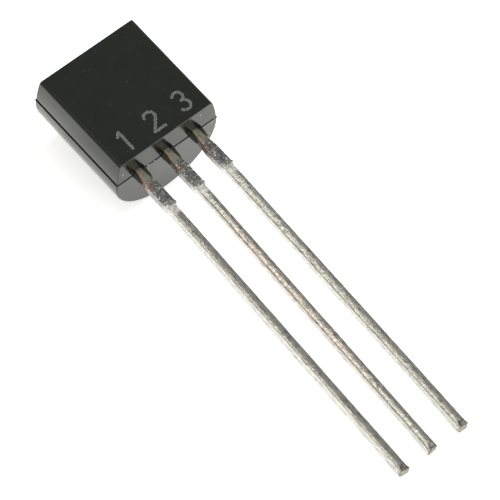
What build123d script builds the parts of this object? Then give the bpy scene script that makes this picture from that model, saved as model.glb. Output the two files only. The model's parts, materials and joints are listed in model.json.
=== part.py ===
from build123d import *
import math
import os

# Voltage supervisor chip in a moulded three-lead package, lying on its round back with the flat face up.
# Every piece is drawn in the axes of the package: X across the leads, the leads along -Y, the flat
# towards +Z, and the parting plane of the mould at Z = 0. The whole is then tipped to lie on a table.

# Moulded body
BODY_WIDTH = 4.52
BODY_LENGTH = 4.54
FLAT_HEIGHT = 1.05
FLAT_WIDTH = 4.10
FLAT_SETBACK = 0.095
FLAT_CORNER_RADIUS = 0.22
FLAT_END_RADIUS = 0.04
FLANK_BULGE = 0.035
BACK_DEPTH = 2.47
BACK_STRAIGHT = 0.21
BACK_END_DRAFT = 0.04
BACK_END_RADIUS = 0.07
SIDE_LEDGE = 0.06
END_LEDGE = 0.035

# Gate scar on the end face away from the leads
GATE_WIDTH = 1.00
GATE_HEIGHT = 0.28
GATE_PROUD = 0.05
GATE_BURIED = 0.15

# Resin flash beside each lead
FLASH_WIDTH = 0.125
FLASH_LENGTH = 0.56
FLASH_BURIED = 0.12

# Leads
LEAD_PITCH = 1.27
LEAD_WIDTH = 0.38
LEAD_THICKNESS = 0.38
LEAD_EDGE_RADIUS = 0.08
LEAD_LENGTH = 14.18
LEAD_DROP = 0.956
LEAD_BEND_START = 1.98
LEAD_BEND_RADIUS = 2.50
LEAD_TIP_CHAMFER = 0.05
RESET_TIP_SWAY = -0.03
INPUT_TIP_SWAY = -0.06
GROUND_TIP_SWAY = 0.03
NECK_WIDTH = 0.25
NECK_LENGTH = 0.92
SHOULDER_WIDTH = 0.46
SHOULDER_START = 1.78
SHOULDER_END = 1.85
STAMP_EDGE_BREAK = 0.045

# Lead frame inside the body
STEM_WIDTH = 0.44
STEM_START = 0.26
RESET_POST_WIDTH = 0.96
RESET_POST_START = 1.35
RESET_POST_END = 2.35
INPUT_POST_WIDTH = 0.92
INPUT_POST_START = 0.62
INPUT_POST_END = 1.22
FLAG_LEFT = -0.46
FLAG_RIGHT = 1.62
FLAG_START = 1.72
FLAG_END = 3.62

# Die and die attach
DIE_WIDTH = 1.26
DIE_LENGTH = 1.06
DIE_THICKNESS = 0.25
DIE_X = 0.52
DIE_Y = 2.72
ATTACH_MARGIN = 0.05
ATTACH_THICKNESS = 0.025

# Bond wires
WIRE_DIAMETER = 0.038
WIRE_SIDES = 8
WIRE_LOOP_RISE = 0.20
BALL_DIAMETER = 0.095
BALL_HEIGHT = 0.022
STITCH_DIAMETER = 0.10
STITCH_HEIGHT = 0.014
PAD_INSET = 0.13
RESET_STITCH_X = -1.20
RESET_STITCH_Y = 1.95
INPUT_STITCH_X = 0.06
INPUT_STITCH_Y = 0.95
GROUND_STITCH_X = 1.38
GROUND_STITCH_Y = 1.98

half_width = BODY_WIDTH / 2
lead_half = LEAD_THICKNESS / 2


def plate(points, base, rise):
    """A flat piece from its outline seen from above, its underside height and its thickness."""
    outline = make_face(Polyline(*points, close=True))
    return Pos(0, 0, base) * extrude(outline, rise)


def end_edges(solid, index, keep_out):
    """Edges round one end face of a body half, without the edge at the parting plane."""
    face = solid.faces().sort_by(Axis.Y)[index]
    return [edge for edge in face.edges() if abs(edge.center().Z) > keep_out]


# Front half of the body, from the parting plane up to the flat
front_half_width = half_width - SIDE_LEDGE
flat_half_width = FLAT_WIDTH / 2
flank_x = (front_half_width + flat_half_width) / 2 + FLANK_BULGE
flank_z = FLAT_HEIGHT / 2
right_flank = ThreePointArc((front_half_width, 0), (flank_x, flank_z), (flat_half_width, FLAT_HEIGHT))
left_flank = ThreePointArc((-flat_half_width, FLAT_HEIGHT), (-flank_x, flank_z), (-front_half_width, 0))
flat_line = Line((flat_half_width, FLAT_HEIGHT), (-flat_half_width, FLAT_HEIGHT))
front_base = Line((-front_half_width, 0), (front_half_width, 0))
front_profile = make_face([right_flank, flat_line, left_flank, front_base])
front_profile = fillet(front_profile.vertices().group_by(Axis.Y)[-1], FLAT_CORNER_RADIUS)
front_side = make_face(
    Polyline(
        (END_LEDGE, 0),
        (BODY_LENGTH - END_LEDGE, 0),
        (BODY_LENGTH - FLAT_SETBACK, FLAT_HEIGHT),
        (FLAT_SETBACK, FLAT_HEIGHT),
        close=True,
    )
)
front_bar = extrude(Plane.XZ * front_profile, BODY_LENGTH, dir=(0, 1, 0))
front_half = front_bar & extrude(Plane.YZ * front_side, BODY_WIDTH, both=True)
front_half = fillet(end_edges(front_half, 0, FLAT_END_RADIUS), FLAT_END_RADIUS)
front_half = fillet(end_edges(front_half, -1, FLAT_END_RADIUS), FLAT_END_RADIUS)

# Back half of the body, from the parting plane down to the round back
back_round = ThreePointArc((half_width, -BACK_STRAIGHT), (0, -BACK_DEPTH), (-half_width, -BACK_STRAIGHT))
back_left = Line((-half_width, -BACK_STRAIGHT), (-half_width, 0))
back_top = Line((-half_width, 0), (half_width, 0))
back_right = Line((half_width, 0), (half_width, -BACK_STRAIGHT))
back_profile = make_face([back_round, back_left, back_top, back_right])
back_side = make_face(
    Polyline(
        (0, 0),
        (BODY_LENGTH, 0),
        (BODY_LENGTH - BACK_END_DRAFT, -BACK_DEPTH),
        (BACK_END_DRAFT, -BACK_DEPTH),
        close=True,
    )
)
back_bar = extrude(Plane.XZ * back_profile, BODY_LENGTH, dir=(0, 1, 0))
back_half = back_bar & extrude(Plane.YZ * back_side, BODY_WIDTH, both=True)
back_half = fillet(end_edges(back_half, 0, BACK_END_RADIUS), BACK_END_RADIUS)
back_half = fillet(end_edges(back_half, -1, BACK_END_RADIUS), BACK_END_RADIUS)

# Gate scar, a low patch where the runner of the mould was broken off
gate_points = [
    (-GATE_WIDTH / 2, BODY_LENGTH - GATE_BURIED),
    (GATE_WIDTH / 2, BODY_LENGTH - GATE_BURIED),
    (GATE_WIDTH / 2, BODY_LENGTH + GATE_PROUD),
    (-GATE_WIDTH / 2, BODY_LENGTH + GATE_PROUD),
]
gate_scar = plate(gate_points, -GATE_HEIGHT, GATE_HEIGHT)

# Resin flash, a thin wedge on each side of a lead, as thick as the flat side of the lead
flash_half = lead_half - STAMP_EDGE_BREAK
neck_growth_share = FLASH_LENGTH / NECK_LENGTH
flash_tip = NECK_WIDTH / 2 + (SHOULDER_WIDTH - NECK_WIDTH) / 2 * neck_growth_share
flash_root = NECK_WIDTH / 2 + FLASH_WIDTH


def flash(x):
    """Both wedges of resin beside the lead at x, joined behind the lead's neck."""
    points = [
        (x - flash_root, FLASH_BURIED),
        (x - flash_root, 0),
        (x - flash_tip, -FLASH_LENGTH),
        (x + flash_tip, -FLASH_LENGTH),
        (x + flash_root, 0),
        (x + flash_root, FLASH_BURIED),
    ]
    return plate(points, -flash_half, flash_half * 2)


def outer_side(x, side):
    """Outline of one side of a lead from the body wall to the end of the shoulder."""
    return [
        (x + side * NECK_WIDTH / 2, 0),
        (x + side * SHOULDER_WIDTH / 2, -NECK_LENGTH),
        (x + side * SHOULDER_WIDTH / 2, -SHOULDER_START),
        (x + side * LEAD_WIDTH / 2, -SHOULDER_END),
    ]


def stamped(x, inner):
    """The stamped flat part of a lead with its inner outline given from the left side to the right."""
    left = list(reversed(outer_side(x, -1)))
    flat_part = plate(left + inner + outer_side(x, 1), -lead_half, LEAD_THICKNESS)
    faces = flat_part.faces().sort_by(Axis.Z)
    return chamfer(faces[0].edges() + faces[-1].edges(), STAMP_EDGE_BREAK)


def shank(x, sway):
    """The long outer part of a lead, bent down a little after the shoulder, with a chamfered tip."""
    start = (x, -SHOULDER_END, 0)
    bend = (x, -LEAD_BEND_START, 0)
    tip = (x + sway, -LEAD_LENGTH, -LEAD_DROP)
    path = FilletPolyline(start, bend, tip, radius=LEAD_BEND_RADIUS)
    section = Plane(start, x_dir=(1, 0, 0), z_dir=(0, -1, 0)) * RectangleRounded(
        LEAD_WIDTH, LEAD_THICKNESS, LEAD_EDGE_RADIUS
    )
    bar = sweep(section, path=path)
    tip_face = bar.faces().sort_by(Axis.Y)[0]
    return chamfer(tip_face.edges(), LEAD_TIP_CHAMFER)


def stem(x, side, end):
    """Outline of one side of a lead's stem inside the body, from the wall inwards."""
    return [
        (x + side * NECK_WIDTH / 2, STEM_START / 2),
        (x + side * STEM_WIDTH / 2, STEM_START),
        (x + side * STEM_WIDTH / 2, end),
    ]


def post_lead(x, sway, post_width, post_start, post_end):
    """A lead that ends inside the body in a wide post for its bond wire."""
    head = [
        (x - post_width / 2, post_start),
        (x - post_width / 2, post_end),
        (x + post_width / 2, post_end),
        (x + post_width / 2, post_start),
    ]
    inner = stem(x, -1, post_start) + head + list(reversed(stem(x, 1, post_start)))
    return stamped(x, inner) + shank(x, sway)


# Leads, left to right with the flat up and the leads towards the viewer
reset_x = -LEAD_PITCH
ground_x = LEAD_PITCH
reset_lead = post_lead(reset_x, RESET_TIP_SWAY, RESET_POST_WIDTH, RESET_POST_START, RESET_POST_END)
input_lead = post_lead(0, INPUT_TIP_SWAY, INPUT_POST_WIDTH, INPUT_POST_START, INPUT_POST_END)
flag = [
    (FLAG_LEFT, FLAG_START),
    (FLAG_LEFT, FLAG_END),
    (FLAG_RIGHT, FLAG_END),
    (FLAG_RIGHT, FLAG_START),
]
ground_inner = stem(ground_x, -1, FLAG_START) + flag + list(reversed(stem(ground_x, 1, FLAG_START)))
ground_lead = stamped(ground_x, ground_inner) + shank(ground_x, GROUND_TIP_SWAY)

# Die on its layer of attach, on top of the flag
attach_width = DIE_WIDTH + ATTACH_MARGIN * 2
attach_length = DIE_LENGTH + ATTACH_MARGIN * 2
die_base = lead_half + ATTACH_THICKNESS
die_top = die_base + DIE_THICKNESS
low = (Align.CENTER, Align.CENTER, Align.MIN)
die_attach = Pos(DIE_X, DIE_Y, lead_half) * Box(attach_width, attach_length, ATTACH_THICKNESS, align=low)
silicon_die = Pos(DIE_X, DIE_Y, die_base) * Box(DIE_WIDTH, DIE_LENGTH, DIE_THICKNESS, align=low)


def bond_wire(pad_x, pad_y, stitch_x, stitch_y):
    """A wire with its ball on the die and its stitch on the lead frame, many-sided to stay light."""
    ball = Pos(pad_x, pad_y, die_top) * extrude(RegularPolygon(BALL_DIAMETER / 2, WIRE_SIDES), BALL_HEIGHT)
    stitch_foot = extrude(RegularPolygon(STITCH_DIAMETER / 2, WIRE_SIDES), STITCH_HEIGHT)
    stitch = Pos(stitch_x, stitch_y, lead_half) * stitch_foot
    first = Vector(pad_x, pad_y, die_top + BALL_HEIGHT)
    last = Vector(stitch_x, stitch_y, lead_half + STITCH_HEIGHT)
    crest = (first + last) / 2
    crest.Z = first.Z + WIRE_LOOP_RISE
    loop = ThreePointArc(first, crest, last)
    section = Plane(first, z_dir=loop % 0) * RegularPolygon(WIRE_DIAMETER / 2, WIRE_SIDES)
    loop_angle = math.degrees(loop.length / loop.radius)
    wire = revolve(section, Axis(loop.arc_center, loop.normal()), revolution_arc=loop_angle)
    return ball + wire + stitch


# Bond wires from the pads along the edge of the die
die_left = DIE_X - DIE_WIDTH / 2 + PAD_INSET
die_right = DIE_X + DIE_WIDTH / 2 - PAD_INSET
die_front = DIE_Y - DIE_LENGTH / 2 + PAD_INSET
reset_bond_wire = bond_wire(die_left, DIE_Y, RESET_STITCH_X, RESET_STITCH_Y)
input_bond_wire = bond_wire(die_left, die_front, INPUT_STITCH_X, INPUT_STITCH_Y)
ground_bond_wire = bond_wire(die_right, die_front, GROUND_STITCH_X, GROUND_STITCH_Y)

# The body is moulded round all that it holds
resin = front_half + back_half + gate_scar + flash(reset_x) + flash(0) + flash(ground_x)
inserts = [reset_lead, input_lead, ground_lead, die_attach, silicon_die]
inserts += [reset_bond_wire, input_bond_wire, ground_bond_wire]
moulded_body = resin - inserts

# The way it lies: on the lead-side edge of the round back and on the three tips
draft_angle = math.atan2(BACK_END_DRAFT, BACK_DEPTH)
edge_y = BACK_END_DRAFT + BACK_END_RADIUS / math.tan((math.pi / 2 + draft_angle) / 2)
edge_z = BACK_END_RADIUS - BACK_DEPTH
drop_angle = math.atan2(LEAD_DROP, LEAD_LENGTH - LEAD_BEND_START)
tip_y = LEAD_TIP_CHAMFER * math.cos(drop_angle) + lead_half * math.sin(drop_angle) - LEAD_LENGTH
tip_z = LEAD_TIP_CHAMFER * math.sin(drop_angle) - lead_half * math.cos(drop_angle) - LEAD_DROP
reach = math.hypot(edge_y - tip_y, edge_z - tip_z)
table_angle = math.atan2(edge_z - tip_z, edge_y - tip_y) - math.asin(BACK_END_RADIUS / reach)
rest_tilt = -math.degrees(table_angle)

nodes = {
    "moulded_body": moulded_body,
    "reset_lead": reset_lead,
    "input_lead": input_lead,
    "ground_lead": ground_lead,
    "silicon_die": silicon_die,
    "die_attach": die_attach,
    "reset_bond_wire": reset_bond_wire,
    "input_bond_wire": input_bond_wire,
    "ground_bond_wire": ground_bond_wire,
}
lying = {name: Rot(rest_tilt, 0, 0) * shape for name, shape in nodes.items()}
boxes = [shape.bounding_box() for shape in lying.values()]
middle_x = (min(box.min.X for box in boxes) + max(box.max.X for box in boxes)) / 2
middle_y = (min(box.min.Y for box in boxes) + max(box.max.Y for box in boxes)) / 2
table_z = min(box.min.Z for box in boxes)

os.makedirs("parts", exist_ok=True)
for name, shape in lying.items():
    export_step(Pos(-middle_x, -middle_y, -table_z) * shape, f"parts/{name}.step")
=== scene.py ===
"""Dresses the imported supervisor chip: body, leads, pin numbers, finishes, light and camera."""

import json
import logging
import math
from dataclasses import dataclass, field
from enum import Enum
from random import Random
from typing import Callable

import bmesh
import bpy
from mathutils import Matrix, Vector


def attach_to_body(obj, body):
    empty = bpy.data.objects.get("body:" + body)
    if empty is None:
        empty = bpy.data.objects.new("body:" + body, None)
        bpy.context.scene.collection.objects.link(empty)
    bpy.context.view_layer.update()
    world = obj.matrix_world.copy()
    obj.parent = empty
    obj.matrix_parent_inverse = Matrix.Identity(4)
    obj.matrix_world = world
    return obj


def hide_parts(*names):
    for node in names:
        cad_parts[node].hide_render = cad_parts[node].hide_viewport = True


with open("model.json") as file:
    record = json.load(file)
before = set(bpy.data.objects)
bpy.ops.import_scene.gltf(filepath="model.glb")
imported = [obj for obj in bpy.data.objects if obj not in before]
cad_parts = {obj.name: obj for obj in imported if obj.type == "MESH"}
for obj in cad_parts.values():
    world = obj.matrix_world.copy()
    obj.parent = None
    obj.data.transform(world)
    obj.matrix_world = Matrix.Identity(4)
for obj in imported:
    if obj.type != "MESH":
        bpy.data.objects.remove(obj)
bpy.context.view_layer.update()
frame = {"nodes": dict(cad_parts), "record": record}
MM = 0.001
PER_MM = 1.0 / MM
ROW_DISTANCE = 1.85
FACE_WEIGHT = 60
# Tolerances in millimetres, then the share of a direction that a face or an edge has to have
NEAR = 1e-3
DOUBLES = 1e-6
FACING = 0.9
MOSTLY = 0.8
log = logging.getLogger("supervisor_chip")

Pair = tuple[float, float]
Triple = tuple[float, float, float]
Stroke = list[Pair]
Edge = bmesh.types.BMEdge
Piece = bpy.types.Object
Socket = bpy.types.NodeSocket
Tree = bpy.types.NodeTree


class Pick(Enum):
    """What a selection in edit mode is made of."""

    VERTS = "VERT"
    EDGES = "EDGE"
    FACES = "FACE"


class Slot(Enum):
    """Names of the record's material slots for the new pieces' finishes; install takes them but
    does not use them.
    """

    RESIN = "black_epoxy"
    PLATING = "tinned_copper"


@dataclass(frozen=True)
class Grain:
    """Settings of uneven grain.

    Attributes:
        scale: Grains in a millimetre.
        low: Lowest value.
        high: Highest value.
        along: Below 1 the grain is drawn out along the leads.
    """

    scale: float
    low: float = 0.0
    high: float = 1.0
    along: float = 1.0


@dataclass(frozen=True)
class Specks:
    """Settings of scattered specks.

    Attributes:
        scale: Cells in a millimetre.
        size: A speck's radius as a share of its cell.
        share: The share of cells that hold one.
    """

    scale: float
    size: float
    share: float


@dataclass(frozen=True)
class Span:
    """Where a soft mask starts and where it is full."""

    start: float
    full: float

    def moved(self, by: float) -> "Span":
        """The span moved along."""
        return Span(self.start + by, self.full + by)


@dataclass(frozen=True)
class Relief:
    """A bump's depth in millimetres and its strength."""

    depth: float
    strength: float


@dataclass(frozen=True)
class PackageAxes:
    """The package's own axes: X across the leads, the leads along -Y, the flat towards +Z."""

    origin: Vector
    tilt: float

    @classmethod
    def from_record(cls, record: dict, row_distance: float) -> "PackageAxes":
        """Reads the axes from the mounts on the flat and at the row of leads.

        Args:
            record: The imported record.
            row_distance: How far the row's mount stands before the body's end, in millimetres.

        Returns:
            The axes, with the origin where the parting plane meets that end face.
        """
        mounts = {mount["name"]: mount for mount in record["mounts"]}
        row, flat = mounts["lead_row"], mounts["marked_flat"]
        origin = Vector(row["pos_m"]) - Vector(row["axis"]) * row_distance * MM
        return cls(origin, math.atan2(-flat["axis"][1], flat["axis"][2]))

    def turn(self) -> Matrix:
        """The turn from the package's axes to the frame's."""
        return Matrix.Rotation(self.tilt, 4, "X")

    def matrix(self) -> Matrix:
        """The move from package millimetres to the frame in metres."""
        return Matrix.Translation(self.origin) @ self.turn() @ Matrix.Scale(MM, 4)

    def place(self, piece: Piece) -> None:
        """Moves a finished piece from package millimetres into the frame, within its mesh.

        Args:
            piece: The piece.
        """
        select_only(piece)
        piece.matrix_world = self.matrix()
        bpy.ops.object.transform_apply(location=True, rotation=True, scale=True)

    def coordinates(self, tree: Tree) -> Socket:
        """Adds nodes that turn Object coordinates into package millimetres.

        Args:
            tree: The node tree to add them to.

        Returns:
            The vector socket that carries the place.
        """
        shift = Matrix.Rotation(-self.tilt, 3, "X") @ self.origin * -PER_MM
        place = add_node(tree, "ShaderNodeMapping", {
            "Location": shift, "Rotation": (-self.tilt, 0.0, 0.0), "Scale": (PER_MM,) * 3,
        })
        source = add_node(tree, "ShaderNodeTexCoord")
        tree.links.new(source.outputs["Object"], place.inputs["Vector"])
        return place.outputs["Vector"]


def clear_selection() -> None:
    """Leaves edit mode and deselects everything."""
    active = bpy.context.view_layer.objects.active
    if active and active.mode != "OBJECT":
        bpy.ops.object.mode_set(mode="OBJECT")
    bpy.ops.object.select_all(action="DESELECT")


def select_only(piece: Piece) -> None:
    """Leaves edit mode, then selects one piece alone and makes it the active one.

    Args:
        piece: The piece.
    """
    clear_selection()
    piece.select_set(True)
    bpy.context.view_layer.objects.active = piece


def add_node(tree: Tree, kind: str, values: dict | None = None, **settings) -> bpy.types.Node:
    """Adds a node.

    Args:
        tree: The node tree.
        kind: The node's type.
        values: Values of its input sockets, by name or number.
        settings: Its own settings.

    Returns:
        The new node.
    """
    node = tree.nodes.new(kind)
    for name, value in settings.items():
        setattr(node, name, value)
    for socket, value in (values or {}).items():
        node.inputs[socket].default_value = value
    return node


def add_ramp(tree: Tree, value: Socket, span: Span, ends: Pair = (0.0, 1.0)) -> Socket:
    """Adds a smooth ramp.

    Args:
        tree: The node tree.
        value: What it follows.
        span: Where it starts and where it is full.
        ends: Its values there.

    Returns:
        The socket of its value.
    """
    node = add_node(tree, "ShaderNodeMapRange", {
        "From Min": span.start, "From Max": span.full, "To Min": ends[0], "To Max": ends[1],
    }, interpolation_type="SMOOTHSTEP")
    tree.links.new(value, node.inputs["Value"])
    return node.outputs["Result"]


def add_reach(tree: Tree, place: Socket, towards: Triple) -> Socket:
    """Adds the node that tells how far a place lies towards a direction.

    Args:
        tree: The node tree.
        place: The place's socket.
        towards: The direction.

    Returns:
        The socket of the distance.
    """
    node = add_node(tree, "ShaderNodeVectorMath", {1: towards}, operation="DOT_PRODUCT")
    tree.links.new(place, node.inputs[0])
    return node.outputs["Value"]


def edge_run(edge: Edge) -> Vector:
    """The way from one end of an edge to the other."""
    return edge.verts[1].co - edge.verts[0].co


def edge_middle(edge: Edge) -> Vector:
    """The middle of an edge."""
    return (edge.verts[0].co + edge.verts[1].co) / 2


class Workpiece:
    """A mesh in edit mode, in package millimetres, started from the primitive added last."""

    def __init__(self, name: str) -> None:
        """Names the new primitive, puts its place in its mesh and enters edit mode.

        Args:
            name: The piece's name.
        """
        self.obj = bpy.context.active_object
        self.obj.name = self.obj.data.name = name
        bpy.ops.object.transform_apply(location=True, rotation=True, scale=True)
        bpy.ops.object.mode_set(mode="EDIT")

    def pick(self, kind: Pick, wanted: Callable[..., bool]) -> None:
        """Selects vertices, edges or faces by a test of their place or normal.

        Args:
            kind: What is selected.
            wanted: The test, which is given the mesh element.
        """
        bpy.ops.mesh.select_mode(type=kind.value)
        bpy.ops.mesh.select_all(action="DESELECT")
        mesh = bmesh.from_edit_mesh(self.obj.data)
        found = {Pick.VERTS: mesh.verts, Pick.EDGES: mesh.edges, Pick.FACES: mesh.faces}[kind]
        chosen = [element for element in found if wanted(element)]
        for element in chosen:
            element.select_set(True)
        bmesh.update_edit_mesh(self.obj.data)

    def pick_facing(self, direction: Triple) -> None:
        """Selects the faces that look in a direction."""
        towards = Vector(direction)
        self.pick(Pick.FACES, lambda face: face.normal.dot(towards) > FACING)

    def extrude(self, move: Triple) -> None:
        """Extrudes the selected faces along a move."""
        bpy.ops.mesh.extrude_region_move(TRANSFORM_OT_translate={"value": move})

    def resize(self, factors: Triple, centre: Triple) -> None:
        """Scales what is selected about a point."""
        bpy.ops.transform.resize(value=factors, center_override=centre)

    def turn(self, angle: float, axis: str, centre: Triple) -> None:
        """Turns what is selected; with no window the operator turns the other way."""
        bpy.ops.transform.rotate(value=-angle, orient_axis=axis, center_override=centre)

    def bevel(self, width: float, segments: int) -> None:
        """Rounds the selected edges."""
        bpy.ops.mesh.bevel(offset=width, segments=segments, affect="EDGES", clamp_overlap=True)

    def roughen(self, amount: float, seed: int) -> None:
        """Moves the selected vertices a little at random, not quite the same way on each run."""
        bpy.ops.transform.vertex_random(offset=amount, uniform=1.0, normal=0.0, seed=seed)

    def close(self) -> Piece:
        """Merges doubles, turns all faces outwards and leaves edit mode.

        Returns:
            The piece.
        """
        bpy.ops.mesh.select_all(action="SELECT")
        bpy.ops.mesh.remove_doubles(threshold=DOUBLES)
        bpy.ops.mesh.normals_make_consistent(inside=False)
        bpy.ops.object.mode_set(mode="OBJECT")
        return self.obj


def add_block(name: str, low: Triple, high: Triple) -> Workpiece:
    """Adds a block between two corners as the start of a piece.

    Args:
        name: The piece's name.
        low: The lowest corner.
        high: The highest corner.

    Returns:
        The block in edit mode.
    """
    clear_selection()
    middle = [(a + b) / 2 for a, b in zip(low, high)]
    size = [b - a for a, b in zip(low, high)]
    bpy.ops.mesh.primitive_cube_add(size=1.0, location=middle, scale=size)
    return Workpiece(name)


def apply_modifier(piece: Piece, kind: str, **settings) -> None:
    """Adds a modifier to a piece, sets it and applies it.

    Args:
        piece: The piece.
        kind: The modifier's type.
        settings: Its settings.
    """
    select_only(piece)
    modifier = piece.modifiers.new(kind.lower(), kind)
    for name, value in settings.items():
        setattr(modifier, name, value)
    bpy.ops.object.modifier_apply(modifier=modifier.name)


def unite(body: Piece, extra: Piece) -> None:
    """Joins a solid to a body as one skin and removes the spare."""
    apply_modifier(body, "BOOLEAN", operation="UNION", solver="EXACT", object=extra)
    bpy.data.objects.remove(extra)


def shade(piece: Piece, angle: float, weighted: bool) -> None:
    """Smooths a piece's shading.

    Args:
        piece: The piece.
        angle: The angle in degrees up to which it is smooth.
        weighted: Whether it is weighted to the large faces.
    """
    select_only(piece)
    bpy.ops.object.shade_smooth_by_angle(angle=math.radians(angle))
    if weighted:
        apply_modifier(piece, "WEIGHTED_NORMAL", keep_sharp=True, weight=FACE_WEIGHT)


class Groups:
    """Shader node groups that several finishes share, built once."""

    NOISE = {"Detail": 4.0, "Roughness": 0.62}
    NOISE_SPAN = {"From Min": 0.32, "From Max": 0.68}
    RAGGED = {"Scale": 30.0, "Detail": 3.0}
    RAGGED_SHIFT = 0.05

    def __init__(self, axes: PackageAxes) -> None:
        """Builds the groups on the package's axes.

        Args:
            axes: The axes.
        """
        self.axes = axes
        self.grain = self._grain()
        self.specks = self._specks()

    @staticmethod
    def _new(name: str, inputs: dict[str, float], output: str) -> Tree:
        """Starts a group.

        Args:
            name: The group's name.
            inputs: Its input sockets with their usual values.
            output: Its output socket.

        Returns:
            The group's tree with its input and output nodes.
        """
        tree = bpy.data.node_groups.new(name, "ShaderNodeTree")
        sockets = tree.interface
        for socket, value in inputs.items():
            made = sockets.new_socket(name=socket, in_out="INPUT", socket_type="NodeSocketFloat")
            made.default_value = value
        sockets.new_socket(name=output, in_out="OUTPUT", socket_type="NodeSocketFloat")
        tree.nodes.new("NodeGroupInput").name = "in"
        tree.nodes.new("NodeGroupOutput").name = "out"
        return tree

    def _grain(self) -> Tree:
        """Uneven grain between two values, which can be drawn out along the leads.

        Returns:
            The group.
        """
        usual = {"Scale": 8.0, "Along": 1.0, "Low": 0.0, "High": 1.0}
        tree = self._new("uneven_grain", usual, "Value")
        given, out = tree.nodes["in"], tree.nodes["out"]
        stretch = add_node(tree, "ShaderNodeCombineXYZ", {"X": 1.0, "Z": 1.0})
        drawn = add_node(tree, "ShaderNodeVectorMath", operation="MULTIPLY")
        noise = add_node(tree, "ShaderNodeTexNoise", self.NOISE)
        spread = add_node(tree, "ShaderNodeMapRange", self.NOISE_SPAN)
        link = tree.links.new
        link(given.outputs["Along"], stretch.inputs["Y"])
        link(self.axes.coordinates(tree), drawn.inputs[0])
        link(stretch.outputs[0], drawn.inputs[1])
        link(drawn.outputs[0], noise.inputs["Vector"])
        link(given.outputs["Scale"], noise.inputs["Scale"])
        link(noise.outputs["Fac"], spread.inputs["Value"])
        link(given.outputs["Low"], spread.inputs["To Min"])
        link(given.outputs["High"], spread.inputs["To Max"])
        link(spread.outputs["Result"], out.inputs["Value"])
        return tree

    def _specks(self) -> Tree:
        """Scattered ragged specks, as of dust, filler or oxide.

        Returns:
            The group.
        """
        tree = self._new("scattered_specks", {"Scale": 4.0, "Size": 0.15, "Share": 0.1}, "Mask")
        given, out = tree.nodes["in"], tree.nodes["out"]
        cells = add_node(tree, "ShaderNodeTexVoronoi", {"Randomness": 1.0})
        wander = add_node(tree, "ShaderNodeTexNoise", self.RAGGED)
        reach = (self.RAGGED_SHIFT,) * 3
        shift = add_node(tree, "ShaderNodeVectorMath", {1: reach}, operation="MULTIPLY")
        ragged = add_node(tree, "ShaderNodeVectorMath", operation="ADD")
        inside = add_node(tree, "ShaderNodeMath", operation="LESS_THAN")
        split = add_node(tree, "ShaderNodeSeparateColor")
        chosen = add_node(tree, "ShaderNodeMath", operation="LESS_THAN")
        mask = add_node(tree, "ShaderNodeMath", operation="MULTIPLY")
        link = tree.links.new
        place = self.axes.coordinates(tree)
        link(place, wander.inputs["Vector"])
        link(wander.outputs["Color"], shift.inputs[0])
        link(shift.outputs[0], ragged.inputs[0])
        link(place, ragged.inputs[1])
        link(ragged.outputs[0], cells.inputs["Vector"])
        link(given.outputs["Scale"], cells.inputs["Scale"])
        link(cells.outputs["Distance"], inside.inputs[0])
        link(given.outputs["Size"], inside.inputs[1])
        link(cells.outputs["Color"], split.inputs["Color"])
        link(split.outputs["Red"], chosen.inputs[0])
        link(given.outputs["Share"], chosen.inputs[1])
        link(inside.outputs[0], mask.inputs[0])
        link(chosen.outputs[0], mask.inputs[1])
        link(mask.outputs[0], out.inputs["Mask"])
        return tree


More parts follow.
